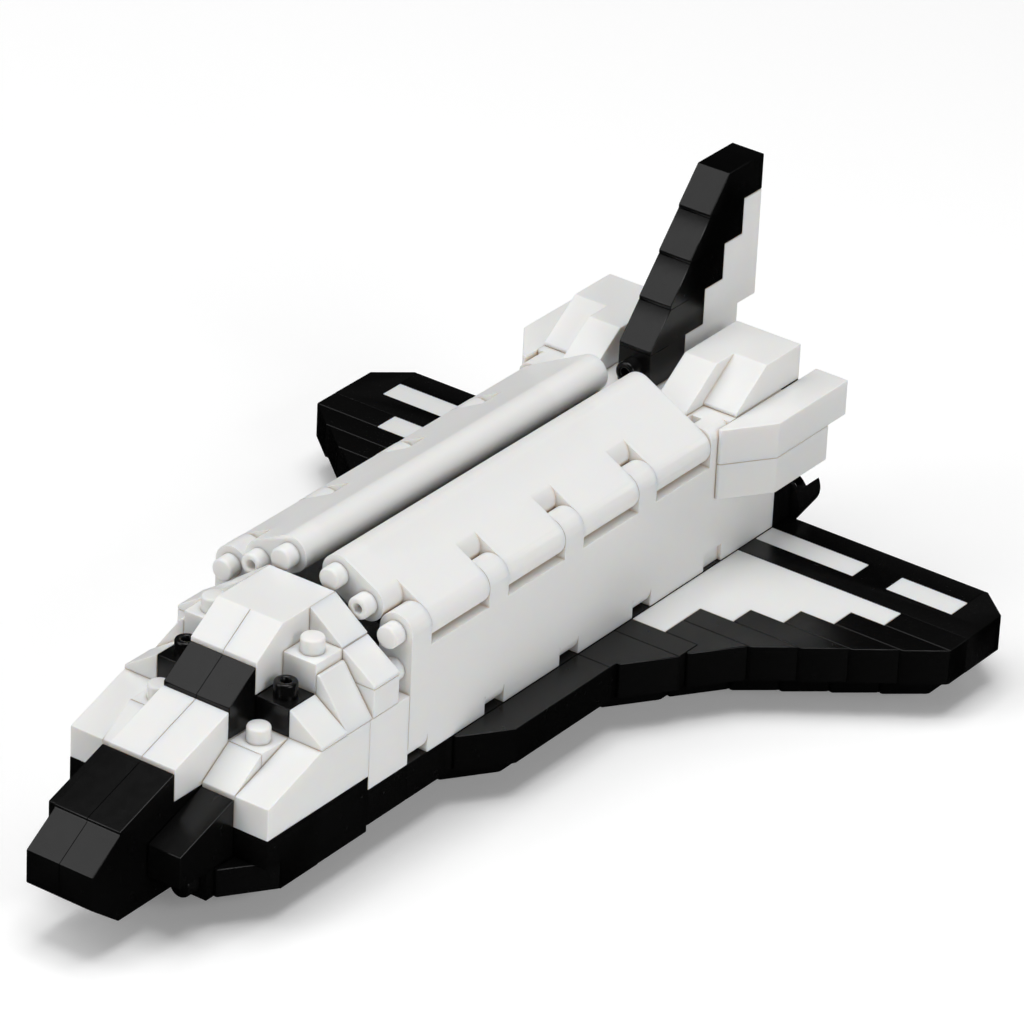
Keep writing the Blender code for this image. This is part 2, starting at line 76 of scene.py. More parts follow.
# Finish of the mouldings, in pitches
GAP = 0.005  # from a brick's side to its plane of the lattice
EDGE = 0.025  # rounding of a brick's edges
FINE_EDGE = 0.006  # rounding of the doors' and brackets' edges
EDGE_STEPS = 2
SLIT, SLIT_DEPTH = 0.01, 0.1  # half the width of a seam that is cut between fused bricks, and its depth
SPLIT = (-SLIT, SLIT)  # the seam along the toy's middle
CREASE = math.radians(20)  # edges that turn more are rounded
SHARP = math.radians(60)  # edges that turn more are shaded sharp
FLAT = math.radians(0.5)  # faces that turn less are one
SAME_WAY = 0.999  # least cosine between normals that count as one
MERGE, BAR_MERGE = 1e-5, 1e-4  # corners nearer than this are one
ROUND_STEPS, STUD_STEPS = 48, 32

# Studs
STUD_R, STUD_H = 0.3, 0.4
STUD_FOOT = -0.1  # a stud starts inside its brick
STUD_EDGE = 0.06
STUD_BEND = 0.3  # share of the edge at its middle ring
HOLE_R, HOLE_FLOOR, HOLE_EDGE = 0.13, 0.05, 0.03

# Hinge brackets and doors
HINGE_B, HINGE_Z = 2.5, 3.5
BAR_R, DOOR_R = 0.5, 0.4925
WEB = (0.5, 3)  # heights between which a bracket is as wide as the wall
DOOR_TILT, DOOR_SPAN = 28, 2.0
HOLLOW_STUD_AT = 1  # from the hinge to the door's hollow stud
LINK_START = 1.01  # middle of the round start of a door link beside its bracket
LINK_LAP = 0.2  # how far a link goes into the panels beside it

# The tail's front corners
CORNER_R = 0.3
CORNER_FOOT = 3.2  # height where the round corner starts, above the wall
TOP_NOTCH_END, TOP_NOTCH = 0.6, (2.05, 2.35)  # in layers past the front, and in pitches from the middle
FOOT_NOTCH = 2.88
OUTSIDE = 4  # beyond the sides of the fuselage
ABOVE = 5  # beyond its top

# Fin
FIN = (-0.5, 0.5)
UNDERCUT = (-1, 1)

# Engines
ENGINE_R, MOUTH_R, BORE_R = 0.78, 0.6, 0.4
ENGINE_LENGTH, BORE_DEPTH = 1.24, 1.0
ENGINE_B, ENGINE_Z, TOP_ENGINE_Z = 2.5, 0.32, 2.3
NOTCH_LENGTH, NOTCH_LOW = 0.69, -0.16
SLOT_START, SLOT_LOW, SLOT_HALF = 0.15, 0.3, 0.13
NOTCH_TURN, SLOT_TURN = 135, 52  # degrees from the outer side up
INNER_START, INNER_R = 0.1, 0.24
CUT_OVER = 0.3
CUT_OUT = 1  # half the width of the notch's cutter, and how far out the cutters go

# Plastics: tone is the difference between bricks, the edge colour that of rubbed edges with a painted
# highlight, the seam colour a painted shade in the seams
WHITE = {
    "colour": (0.83, 0.83, 0.82),
    "tone": 0.012,
    "worn_and_highlit": (0.88, 0.88, 0.87),
    "roughness": 0.36,
    "painted_shade_colour": (0.72, 0.6, 0.47),
}
BLACK = {
    "colour": (0.0012, 0.0012, 0.0012),
    "tone": 0.2,
    "worn_and_highlit": (0.01, 0.01, 0.01),
    "roughness": 0.25,
    "painted_shade_colour": (0.0005, 0.0005, 0.0005),
}
BLACK_SPECULAR = 0.28
GLOW_WEIGHT, GLOW_COLOUR, GLOW_DEPTH = 0.6, (1.0, 0.75, 0.5), 0.001
FLOW_SCALE, SCUFF_SCALE, GRAIN_SCALE, PAPER_SCALE = 160, 900, 2500, 3
FLOW_DETAIL, SCUFF_DETAIL, GRAIN_DETAIL = 3, 4, 2
WORN_HIGHLIT_FROM, WORN_HIGHLIT_TO, WORN_HIGHLIT_SHARE = 0.52, 0.62, 0.5  # pointiness where the wear and painted edge highlight start and are full, its share
# painted shade: how far ambient occlusion reaches into the seams, and its samples
PAINTED_SHADE_REACH, PAINTED_SHADE_SAMPLES = 0.1 * PITCH, 8
SCUFF = 0.06  # how far scuffs change the roughness
GRAIN_STRENGTH, GRAIN_HEIGHT = 0.06, 0.00005

# Floor, light and camera, in metres, watts and degrees
FLOOR_HALF, FLOOR_CELLS = 3, 8
PAPER, PAPER_GLOW, PAPER_ROUGH = (0.97, 0.97, 0.97, 1), 0.13, (0.85, 0.95)
PURE_WHITE = (1, 1, 1, 1)
WORLD_LIGHT = 0.08
STUDIO_MIDDLE = Vector((0, 0, 0.015))
LIGHT_DISTANCE = 0.8
# name, direction from the toy, side of the square, power
SOFT_BOXES = (
    ("top_box", (0, 0, 1), 0.5, 3.9),
    ("key_box", (0.38, -0.5, 0.77), 0.5, 1.5),
    ("low_front_box", (0.75, -0.5, 0.43), 0.35, 0.95),
    ("port_box", (0.2, 0.9, 0.42), 0.35, 1.95),
    ("rear_box", (-0.8, 0.1, 0.6), 0.35, 0.3),
)
CAMERA_SPOT, CAMERA_TURN = (0.45976, 0.333334, 0.338168), (61.0726, -2.4668, 126.3663)
SENSOR, LENS = 36, 233.852  # in millimetres
SHIFT_X, SHIFT_Y = -0.002676, 0.000982
CLIP = (0.01, 20)

SIDES = {
    "fore": (0, 1),
    "aft": (0, -1),
    "port": (1, 1),
    "starboard": (1, -1),
    "top": (2, 1),
    "bottom": (2, -1),
}
MIRRORED = {"port": "starboard", "starboard": "port"}
TURNS = {"up": Matrix(), "fore": Matrix.Rotation(math.pi / 2, 4, "Y")}


def place(a, b, z):
    """A point of the lattice, in pitches of the frame."""
    return Vector((MIDDLE_A - a, b, z - HULL_BOTTOM - SEAM))


def add_mesh(mesh, part):
    """Adds a finished bmesh to another one, and frees it."""
    data = bpy.data.meshes.new("part")
    part.to_mesh(data)
    part.free()
    mesh.from_mesh(data)
    bpy.data.meshes.remove(data)


def combine(first, second, way):
    """The union or the difference of two meshes, which are freed."""
    operands = []
    for mesh in (first, second):
        data = bpy.data.meshes.new("operand")
        mesh.to_mesh(data)
        mesh.free()
        operand = bpy.data.objects.new("operand", data)
        bpy.context.scene.collection.objects.link(operand)
        operands.append(operand)
    cut = operands[0].modifiers.new("cut", "BOOLEAN")
    cut.operation = way
    cut.solver = "EXACT"
    cut.use_self = True
    cut.object = operands[1]
    solid = operands[0].evaluated_get(bpy.context.evaluated_depsgraph_get())
    result = bmesh.new()
    result.from_mesh(solid.to_mesh())
    solid.to_mesh_clear()
    for operand in operands:
        data = operand.data
        bpy.data.objects.remove(operand)
        bpy.data.meshes.remove(data)
    return result


def fuse(parts, whole_faces=True):
    """One closed mesh of all the parts, by choice without edges inside flat faces."""
    whole = parts[0]
    if len(parts) > 1:
        rest = bmesh.new()
        for part in parts[1:]:
            add_mesh(rest, part)
        whole = combine(whole, rest, "UNION")
    bmesh.ops.remove_doubles(whole, verts=whole.verts, dist=MERGE)
    if whole_faces:
        bmesh.ops.dissolve_limit(whole, angle_limit=FLAT, verts=whole.verts, edges=whole.edges)
    return whole


def draw_in(mesh, depth):
    """Moves every face of a solid inwards by the depth, without sliding corners along a straight edge."""
    mesh.normal_update()
    moves = []
    for vert in mesh.verts:
        normals = []
        for face in vert.link_faces:
            if all(face.normal.dot(other) < SAME_WAY for other in normals):
                normals.append(face.normal.copy())
        if len(normals) == 2:
            along = normals[0].cross(normals[1])
            pull, targets = normals + [along], (-depth, -depth, 0)
        else:
            pull, targets = normals, (-depth,) * len(normals)
        square = Matrix([[sum(n[r] * n[c] for n in pull) for c in range(3)] for r in range(3)])
        side = Vector([sum(n[r] * target for n, target in zip(pull, targets)) for r in range(3)])
        moves.append(square.inverted_safe() @ side)
    for vert, move in zip(mesh.verts, moves):
        vert.co += move


def round_edges(mesh, width=EDGE):
    """Rounds the outer edges."""
    mesh.normal_update()
    edges = [e for e in mesh.edges if e.is_manifold and e.is_convex and e.calc_face_angle(0) > CREASE]
    bmesh.ops.bevel(
        mesh,
        geom=edges,
        offset=width,
        segments=EDGE_STEPS,
        profile=0.5,
        affect="EDGES",
        clamp_overlap=True,
    )


class Brick:
    """A box of the lattice, with any of its ends drawn in to a thin edge."""

    def __init__(self, a, b, z, cuts=(), lip=LIP):
        self.low = Vector((-max(a), min(b), min(z)))
        self.high = Vector((-min(a), max(b), max(z)))
        self.cuts = tuple(cuts)
        self.lip = lip

    def mirrored(self):
        a = (-self.high.x, -self.low.x)
        b = (-self.high.y, -self.low.y)
        twin = Brick(a, b, (self.low.z, self.high.z), lip=self.lip)
        twin.cuts = tuple(tuple(MIRRORED.get(word, word) for word in cut) for cut in self.cuts)
        return twin

    def corner(self, signs):
        point = [self.high[n] if signs[n] > 0 else self.low[n] for n in range(3)]
        for end, side in self.cuts:
            end_axis, end_sign = SIDES[end]
            side_axis, side_sign = SIDES[side]
            if signs[end_axis] != end_sign or signs[side_axis] != side_sign:
                continue
            if side_sign > 0:
                point[side_axis] = self.low[side_axis] + self.lip
            else:
                point[side_axis] = self.high[side_axis] - self.lip
        return Vector(point)

    def mesh(self):
        part = bmesh.new()
        bmesh.ops.create_cube(part, size=2)
        for vert in part.verts:
            corner = self.corner([round(value) for value in vert.co])
            vert.co = place(-corner.x, corner.y, corner.z)
        bmesh.ops.recalc_face_normals(part, faces=part.faces)
        return part


def mirrored(part):
    """The twin of a brick, or of a group of bricks that are fused."""
    return part.mirrored() if isinstance(part, Brick) else [brick.mirrored() for brick in part]


def rear(i, b, z, *cuts, lip=LIP):
    """A brick with its studs forward: i in layers, b and z in pitches."""
    return Brick([value * BRICK for value in i], b, z, cuts, lip)


def level_height(level):
    return NOSE_LEVEL + level * BRICK


def nose(k, b, level, *cuts, lip=LIP):
    """A brick with its studs up: k in pitches ahead of the nose's back, level in bricks."""
    a = [NOSE_BACK - value for value in k]
    return Brick(a, b, [level_height(value) for value in level], cuts, lip)


def add_turned(mesh, spot, profile):
    """Adds a turned part: its profile is (radius, height) from the axis at the foot to the axis on top."""
    part = bmesh.new()
    rings = []
    for radius, height in profile:
        if radius == 0:
            rings.append([part.verts.new((0, 0, height))])
            continue
        turns = (2 * math.pi * step / STUD_STEPS for step in range(STUD_STEPS))
        rings.append([part.verts.new((radius * math.cos(t), radius * math.sin(t), height)) for t in turns])
    for below, above in zip(rings, rings[1:]):
        for step in range(STUD_STEPS):
            after = (step + 1) % STUD_STEPS
            ring = [below[step % len(below)], below[after % len(below)]]
            ring += [above[after % len(above)], above[step % len(above)]]
            corners = [vert for n, vert in enumerate(ring) if vert not in ring[:n]]
            part.faces.new(corners)
    bmesh.ops.transform(part, matrix=spot, verts=part.verts)
    bmesh.ops.recalc_face_normals(part, faces=part.faces)
    add_mesh(mesh, part)


SOLID_STUD = (
    (0, STUD_FOOT),
    (STUD_R, STUD_FOOT),
    (STUD_R, STUD_H - STUD_EDGE),
    (STUD_R - STUD_EDGE * STUD_BEND, STUD_H - STUD_EDGE * STUD_BEND),
    (STUD_R - STUD_EDGE, STUD_H),
    (0, STUD_H),
)
HOLLOW_STUD = SOLID_STUD[:-1] + (
    (HOLE_R + HOLE_EDGE, STUD_H),
    (HOLE_R, STUD_H - HOLE_EDGE),
    (HOLE_R, HOLE_FLOOR),
    (0, HOLE_FLOOR),
)


def add_stud(mesh, a, b, z, way="fore", hollow=False):
    spot = Matrix.Translation(place(a, b, z)) @ TURNS[way]
    add_turned(mesh, spot, HOLLOW_STUD if hollow else SOLID_STUD)


def round_bar(a, middle, angle, start, end, radius=BAR_R):
    """A bar across the fuselage, with round ends about start and end along the angle from the middle."""
    part = bmesh.new()
    reach = radius - GAP
    flat = 1 / math.cos(math.pi / ROUND_STEPS)
    bmesh.ops.create_cone(
        part,
        cap_ends=True,
        segments=ROUND_STEPS,
        radius1=1,
        radius2=1,
        depth=1,
        matrix=Matrix.Rotation(math.pi / ROUND_STEPS, 4, "Z"),
    )
    along = Vector((math.cos(math.radians(angle)), math.sin(math.radians(angle))))
    across = Vector((-along.y, along.x))
    for vert in part.verts:
        u, w, depth = vert.co.x * reach * flat, vert.co.y * reach * flat, vert.co.z
        u += end if u > 0 else start
        spot = Vector(middle) + along * u + across * w
        vert.co = place(a[0] if depth < 0 else a[1], spot.x, spot.y)
    bmesh.ops.remove_doubles(part, verts=part.verts, dist=BAR_MERGE)
    bmesh.ops.recalc_face_normals(part, faces=part.faces)
    return part


def tapered(a, b, z, radii):
    """A round body along the toy, with the radii of its fore and aft ends."""
    part = bmesh.new()
    fore, aft = (place(end, b, z) for end in a)
    bmesh.ops.create_cone(
        part,
        cap_ends=True,
        segments=ROUND_STEPS,
        radius1=radii[1],
        radius2=radii[0],
        depth=(fore - aft).length,
        matrix=Matrix.Translation((fore + aft) / 2) @ Matrix.Rotation(math.pi / 2, 4, "Y"),
    )
    return part


def turned_box(a, b, z, turn, out, half):
    """A box beside the line (b, z): it is turned about it, and lies between two distances out from it."""
    part = bmesh.new()
    spot = Matrix.Translation(place(sum(a) / 2, b, z)) @ Matrix.Rotation(math.radians(turn), 4, "X")
    size = (a[1] - a[0], out[1] - out[0], 2 * half, 1)
    spot = spot @ Matrix.Translation((0, sum(out) / 2, 0)) @ Matrix.Diagonal(size)
    bmesh.ops.create_cube(part, size=1, matrix=spot)
    return part


def new_piece(name, mesh, look, *nodes, body="root"):
    """Makes the piece, in metres and inside the solids' box, and lets it ride and stand for its nodes."""
    low, high = cad_box
    for vert in mesh.verts:
        vert.co = [min(max(value * PITCH, low[n]), high[n]) for n, value in enumerate(vert.co)]
    mesh.normal_update()
    for face in mesh.faces:
        face.smooth = True
    for edge in mesh.edges:
        edge.smooth = edge.calc_face_angle(0) < SHARP
    data = bpy.data.meshes.new(name)
    mesh.to_mesh(data)
    mesh.free()
    data.materials.append(looks[look])
    piece = bpy.data.objects.new(name, data)
    bpy.context.scene.collection.objects.link(piece)
    crisp = piece.modifiers.new("crisp_faces", "WEIGHTED_NORMAL")
    crisp.weight = 100
    crisp.keep_sharp = True
    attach(piece, body)
    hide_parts(*nodes)
    return piece


def brick_mesh(part, slits=()):
    """A brick or a fused group, drawn in from the lattice and rounded, with the slits cut last."""
    group = [part] if isinstance(part, Brick) else part
    solid = fuse([brick.mesh() for brick in group])
    draw_in(solid, GAP)
    round_edges(solid)
    if slits:
        cutter = bmesh.new()
        for slit in slits:
            add_mesh(cutter, slit.mesh())
        solid = combine(solid, cutter, "DIFFERENCE")
    return solid


def bricks(node, parts, look, studs=(), slits=()):
    """One piece for the node: its bricks and groups, and its studs as (a, b, z, way, hollow)."""
    mesh = bmesh.new()
    for part in parts:
        add_mesh(mesh, brick_mesh(part, slits))
    for stud in studs:
        add_stud(mesh, *stud)
    return new_piece(node + "_bricks", mesh, look, node)


def pair(name, parts, look, studs=(), slits=()):
    """The port piece and its starboard twin."""
    bricks("port_" + name, parts, look, studs, slits)
    twins = [(a, -b, z, *rest) for a, b, z, *rest in studs]
    bricks("starboard_" + name, [mirrored(part) for part in parts], look, twins, [mirrored(s) for s in slits])


def nose_stud(k, b, level, hollow=False):
    return (NOSE_BACK - k, b, level_height(level), "up", hollow)


def fore_stud(i, b, z, hollow=False):
    return (i * BRICK, b, z, "fore", hollow)


def ramp(tree, source, low, high):
    """A map of the source's 0 to 1 on to low to high."""
    node = tree.nodes.new("ShaderNodeMapRange")
    node.inputs["To Min"].default_value = low
    node.inputs["To Max"].default_value = high
    tree.links.new(source, node.inputs["Value"])
    return node.outputs["Result"]


def noise(tree, spot, scale, detail=FLOW_DETAIL):
    node = tree.nodes.new("ShaderNodeTexNoise")
    node.inputs["Scale"].default_value = scale
    node.inputs["Detail"].default_value = detail
    tree.links.new(spot, node.inputs["Vector"])
    return node.outputs["Fac"]


def plastic(name, colour, tone, worn_and_highlit, roughness, painted_shade_colour):
    """Moulded plastic: a tone for each brick, faint flow marks, fine scuffs, rubbed edges with a painted
    highlight, and painted shade darkening the seams.
    """
    made = bpy.data.materials.new(name)
    made.use_nodes = True
    tree = made.node_tree
    shader = tree.nodes["Principled BSDF"]
    spot = tree.nodes.new("ShaderNodeTexCoord").outputs["Object"]
    geometry = tree.nodes.new("ShaderNodeNewGeometry")

    flow = noise(tree, spot, FLOW_SCALE)
    island = ramp(tree, geometry.outputs["Random Per Island"], 1 - tone, 1 + tone)
    blotch = ramp(tree, flow, 1 - tone, 1 + tone)
    level = tree.nodes.new("ShaderNodeMath")
    level.operation = "MULTIPLY"
    tree.links.new(island, level.inputs[0])
    tree.links.new(blotch, level.inputs[1])
    tinted = tree.nodes.new("ShaderNodeVectorMath")
    tinted.operation = "SCALE"
    tinted.inputs[0].default_value = colour
    tree.links.new(level.outputs[0], tinted.inputs["Scale"])

    # wear and painted highlight: convex edges, found by pointiness, are mixed towards a lighter colour
    edge = tree.nodes.new("ShaderNodeMapRange")
    edge.inputs["From Min"].default_value = WORN_HIGHLIT_FROM
    edge.inputs["From Max"].default_value = WORN_HIGHLIT_TO
    edge.inputs["To Max"].default_value = WORN_HIGHLIT_SHARE
    tree.links.new(geometry.outputs["Pointiness"], edge.inputs["Value"])
    rubbed_and_highlit = tree.nodes.new("ShaderNodeMix")
    rubbed_and_highlit.data_type = "RGBA"
    rubbed_and_highlit.inputs["B"].default_value = (*worn_and_highlit, 1)
    tree.links.new(edge.outputs["Result"], rubbed_and_highlit.inputs["Factor"])
    tree.links.new(tinted.outputs[0], rubbed_and_highlit.inputs["A"])

    # painted shade: ambient occlusion darkens and warms the colour in seams and crevices, where shade falls
    painted_shade_occlusion = tree.nodes.new("ShaderNodeAmbientOcclusion")
    painted_shade_occlusion.samples = PAINTED_SHADE_SAMPLES
    painted_shade_occlusion.inputs["Distance"].default_value = PAINTED_SHADE_REACH
    painted_shade_mix = tree.nodes.new("ShaderNodeMix")
    painted_shade_mix.data_type = "RGBA"
    painted_shade_mix.inputs["A"].default_value = (*painted_shade_colour, 1)
    tree.links.new(painted_shade_occlusion.outputs["AO"], painted_shade_mix.inputs["Factor"])
    tree.links.new(rubbed_and_highlit.outputs["Result"], painted_shade_mix.inputs["B"])
    tree.links.new(painted_shade_mix.outputs["Result"], shader.inputs["Base Color"])

    scuffs = noise(tree, spot, SCUFF_SCALE, SCUFF_DETAIL)
    tree.links.new(ramp(tree, scuffs, roughness - SCUFF, roughness + SCUFF), shader.inputs["Roughness"])
    grain = noise(tree, spot, GRAIN_SCALE, GRAIN_DETAIL)
    bump = tree.nodes.new("ShaderNodeBump")
    bump.inputs["Strength"].default_value = GRAIN_STRENGTH
    bump.inputs["Distance"].default_value = GRAIN_HEIGHT
    tree.links.new(grain, bump.inputs["Height"])
    tree.links.new(bump.outputs["Normal"], shader.inputs["Normal"])
    return made


def white_plastic():
    made = plastic("white_plastic", **WHITE)
    shader = made.node_tree.nodes["Principled BSDF"]
    shader.inputs["Subsurface Weight"].default_value = GLOW_WEIGHT
    shader.inputs["Subsurface Radius"].default_value = GLOW_COLOUR
    shader.inputs["Subsurface Scale"].default_value = GLOW_DEPTH
    return made


def black_plastic():
    made = plastic("black_plastic", **BLACK)
    shader = made.node_tree.nodes["Principled BSDF"]
    shader.inputs["Specular IOR Level"].default_value = BLACK_SPECULAR
    return made


def build_nose():
    """The nose cone, the cheeks beside it and the black hull under them."""
    tip = [
        nose((6, 8), (-1, 1), (-1, 0)),
        nose((6, 8), (-1, 1), (0, 1)),
        nose((5, 6), (-1, 1), (0, 2)),
        nose((6, 8), (-1, 1), (1, 2)),
        nose((8, 9), (-1, 1), (0, 1)),
        nose((8, 9), (-1, 1), (-1, 0), ("fore", "bottom"), lip=TIP_LIP),
        nose((8, 9), (-1, 1), (1, 2), ("fore", "top")),
        nose((6, 8), (-1, 1), (2, 3), ("fore", "top")),
    ]
    bricks("nose_tip", [tip], "black_plastic", slits=[nose((6, 10), SPLIT, (0, 4))])
    cheek = [nose((5, 7), (1, 2), (1, 2), ("fore", "top")), nose((5, 7), (1, 2), (0, 1))]
    pair("nose_cheek", [cheek], "black_plastic")
    chine = nose((CHINE_STEP, CHINE_STEP + (2 - SHORT) * BRICK), (2, 3), (-1, 0), ("fore", "port"))
    rear_hull = [
        nose((NOSE_FOOT, 3), (-3, 3), (-1, 1)),
        nose((NOSE_FOOT, 3), (-2, 2), (-2, -1)),
    ]
    front_hull = [
        nose((3, 5), (-3, 3), (0, 1)),
        nose((3, CHINE_STEP), (-3, 3), (-1, 0)),
        nose((CHINE_STEP, 6), (-2, 2), (-1, 0)),
    ]
    front_studs = [(NOSE_BACK - 6, b, level_height(-0.5), "fore", False) for b in (-1.5, 1.5)]
    bricks("nose_hull", [rear_hull, front_hull, chine, chine.mirrored()], "black_plastic", front_studs)
    bonnet = [nose((4, 6), (-1, 1), (3, 4), ("fore", "top")), nose((4, 6), (-1, 1), (2, 3))]
    bricks("nose_bonnet", [bonnet], "white_plastic", slits=[nose((4, 7), SPLIT, (3, 5))])
    shoulder = [
        nose((4, 5), (1, 2), (2, 3), ("fore", "top")),
        nose((3, 4), (1, 2), (2, 3)),
        nose((3, 5), (2, 3), (2, 3), ("fore", "top")),
        nose((2, 5), (1, 3), (1, 2)),
        nose((NOSE_FOOT, 2), (1, 3), (1, 2)),
        nose((NOSE_FOOT, 3), (2, 3), (2, 3)),
        nose((0, 3), (1, 2), (2, 3)),
    ]
    between = [
        nose((3, 6), (2 - SLIT, 2 + SLIT), (2, 4)),
        nose((4 - SLIT, 4 + SLIT), (1, 2), (2, 4)),
    ]
    pair("nose_shoulder", [shoulder], "white_plastic", [nose_stud(3.5, 1.5, 3)], between)


def build_cockpit():
    """The black window slopes, the white roof over them and the sloping sides."""
    window = [nose((3, 4), (-1, 1), (4, 5), ("fore", "top")), nose((2, 4), (-1, 1), (3, 4))]
    bricks("windscreen", [window], "black_plastic", slits=[nose((3, 5), SPLIT, (4, 6))])
    pair("side_window", [nose((2, 3), (1, 2), (3, 4))], "black_plastic", [nose_stud(2.5, 1.5, 4, True)])
    roof = [
        nose((2, 3), (-1, 1), (5, 6), ("fore", "top")),
        nose((0, 2), (-1, 1), (5, 6)),
        nose((0, 3), (-1, 1), (4, 5)),
        nose((0, 2), (-1, 1), (2, 4)),
        nose((2, 4), (-1, 1), (2, 3)),
    ]
    bricks("cockpit_roof", [roof], "white_plastic", slits=[nose((2, 4), SPLIT, (5, 7))])
    side = [
        nose((0, 1), (1, 2), (5, 6), ("port", "top"), lip=SHARP_LIP),
        [nose((0, 2), (1, 2), (3, 5)), nose((0, 1), (2, 3), (3, 4))],
        nose((0, 1), (2, 3), (4, 5), ("port", "top")),
        nose((1, 2), (2, 3), (3, 5 - SHORT), ("top", "port")),
        nose((2, 3), (2, 3), (3, 4), ("port", "top")),
    ]
    pair("cockpit_side", side, "white_plastic", [nose_stud(1.5, 1.5, 5)])


def bracket(start, sign):
    """The round-topped hinge bracket of a layer."""
    a = (start * BRICK + GAP, (start + 1) * BRICK - GAP)
    return round_bar(a, (sign * HINGE_B, BAR_R), 90, 0, HINGE_Z - BAR_R)


def build_body():
    """The payload bay's walls with their hinge brackets, the hull below and the tail."""
    keel_bend = rear((KEEL_FRONT - 2 + SHORT, KEEL_FRONT), (2, 3), (HULL_BOTTOM, -1), ("fore", "port"))
    hull = [rear((first, first + 2), (-3, 3), (-1, 0)) for first in range(COLLAR_FRONT, BAY_BACK, 2)]
    hull += [
        rear((BAY_BACK, TAIL_END), (-3, 3), (-1, 0)),
        rear((COLLAR_FRONT, KEEL_FRONT), (-2, 2), (HULL_BOTTOM, -1)),
        rear((KEEL_FRONT, TAIL_END), (-3, 3), (HULL_BOTTOM, -1)),
        keel_bend,
        keel_bend.mirrored(),
    ]
    bricks("hull", hull, "black_plastic")
    core_top = level_height(2)
    bricks("collar", [rear((COLLAR_FRONT, BAY_FRONT), (-2, 2), (0, core_top))], "white_plastic")
    collar_side = rear((COLLAR_FRONT, BAY_FRONT), (2, 3), (0, level_height(3)))
    pair("collar_side", [collar_side], "white_plastic")
    bulkhead = rear((BAY_FRONT, BAY_FRONT + 1), (-2, 2), (0, 3))
    bricks("bay_bulkhead", [bulkhead], "black_plastic")
    build_walls()
    bricks("tail_plate", [rear((TAIL_PLATE, TAIL_END), (-3, 3), (0, 4))], "black_plastic")


def build_walls():
    """The bay's two walls with their brackets and studs, and the tail behind them, without a seam between."""
    modules = range(BAY_FRONT, BAY_BACK, MODULE)
    front = (BAY_BACK, BAY_BACK + 1)
    walls = [
        rear(front, (CORNER_R - 3, 3 - CORNER_R), (0, 4)),
        rear(front, (-3, 3), (0, 4 - CORNER_R)),
        rear((BAY_BACK + 1, TAIL_PLATE), (-3, 3), (0, 4)),
    ]
    rounds = []
    notches = bmesh.new()
    nodes = ["tail_block"]
    layer = (BAY_BACK * BRICK + GAP, (BAY_BACK + 1) * BRICK + CORNER_R)
    for side, sign in (("port", 1), ("starboard", -1)):
        across = (sign * 2, sign * 3)
        walls += [rear((start + 1, start + MODULE), across, (0, 3)) for start in modules]
        walls.append(rear((BAY_FRONT, BAY_BACK), across, WEB))
        rounds += [bracket(start, sign) for start in modules]
        edge = (sign * (3 - CORNER_R), CORNER_FOOT)
        rounds.append(round_bar(layer, edge, 90, 0, 4 - CORNER_R - CORNER_FOOT, CORNER_R))
        nodes += [f"{side}_wall_{number + 1}" for number in range(len(modules))]
    mesh = fuse([wall.mesh() for wall in walls])
    draw_in(mesh, GAP)
    mesh = fuse([mesh] + rounds)
    for sign in (1, -1):
        across = [sign * value for value in TOP_NOTCH]
        top_notch = rear((BAY_BACK - 1, BAY_BACK + TOP_NOTCH_END), across, (4 - CORNER_R, ABOVE))
        foot_notch = rear(front, (sign * FOOT_NOTCH, sign * OUTSIDE), (-1, WEB[0] - GAP))
        for notch in (top_notch, foot_notch):
            add_mesh(notches, notch.mesh())
    mesh = combine(mesh, notches, "DIFFERENCE")
    round_edges(mesh, FINE_EDGE)
    for b in (HINGE_B, -HINGE_B):
        for height in (HINGE_Z, HINGE_Z - 1):
            add_stud(mesh, *fore_stud(BAY_FRONT, b, height))
    new_piece("wall_bricks", mesh, "white_plastic", *nodes)


def build_doors():
    """Each door's four panels, which turn on their studs, and the short links beside the brackets."""
    modules = range(BAY_FRONT, BAY_BACK, MODULE)
    for side, sign in (("port", 1), ("starboard", -1)):
        angle = 180 - DOOR_TILT if sign > 0 else DOOR_TILT
        along = Vector((math.cos(math.radians(angle)), math.sin(math.radians(angle))))
        hinge = Vector((sign * HINGE_B, HINGE_Z))
        bars = []
        for start in modules:
            panel = ((start + 1) * BRICK + GAP / 2, (start + MODULE) * BRICK - GAP)
            front = start * BRICK + (GAP if start == BAY_FRONT else -LINK_LAP)
            bars.append(round_bar(panel, hinge, angle, 0, DOOR_SPAN, DOOR_R))
            link = (front, panel[0] + LINK_LAP)
            bars.append(round_bar(link, hinge, angle, LINK_START, DOOR_SPAN, DOOR_R))
        mesh = fuse(bars, whole_faces=False)
        round_edges(mesh, FINE_EDGE)
        for reach, hollow in ((HOLLOW_STUD_AT, True), (DOOR_SPAN, False)):
            add_stud(mesh, *fore_stud(BAY_FRONT, *(hinge + along * reach), hollow))
        nodes = [f"{side}_door_{number + 1}" for number in range(len(modules))]
        new_piece(side + "_door_bricks", mesh, "white_plastic", *nodes, body=side + "_door")


